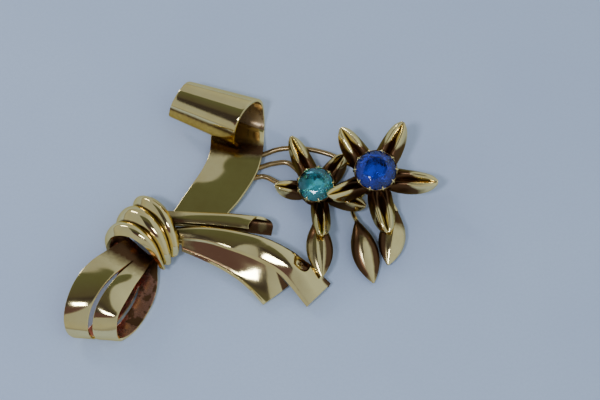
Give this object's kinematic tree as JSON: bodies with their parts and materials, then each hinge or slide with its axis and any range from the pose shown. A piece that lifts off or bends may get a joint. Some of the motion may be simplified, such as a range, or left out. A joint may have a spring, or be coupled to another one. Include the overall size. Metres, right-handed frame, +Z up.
{
  "type": "bow brooch",
  "caption": "Flat bow brooch of rolled and fluted ribbon with a wrapped knot, a slit loop, a spray of grooved flowers with round stones, almond buds and a pin back.",
  "frame": {"origin": "middle of the footprint, on the surface that the brooch lies on", "axes": "+X from the ribbon loop to the flowers, the longest way; +Y away from the viewer of the picture; +Z up through the face, the shortest way"},
  "size_m": [0.0672, 0.0498, 0.0097],
  "materials": {
    "gold": "polished, pale yellow gold filled",
    "antiqued_gold": "polished ridges with dark antiquing in the grooves",
    "rose_wire": "dull rose gold wire",
    "blue_glass": "faceted and polished",
    "teal_glass": "faceted and polished"
  },
  "bodies": {
    "root": {"scroll_ribbon": "gold", "tail_upper": "gold", "tail_middle": "gold", "tail_lower": "gold", "ribbon_loop": "gold", "knot": "gold", "stem_upper": "rose_wire", "stem_middle": "rose_wire", "stem_lower": "rose_wire", "blue_flower": "antiqued_gold", "blue_setting": "gold", "blue_stone": "blue_glass", "teal_flower": "antiqued_gold", "teal_setting": "gold", "teal_stone": "teal_glass", "bud_left": "antiqued_gold", "bud_middle": "antiqued_gold", "bud_right": "antiqued_gold", "pin_back": "antiqued_gold"}
  },
  "joints": []
}
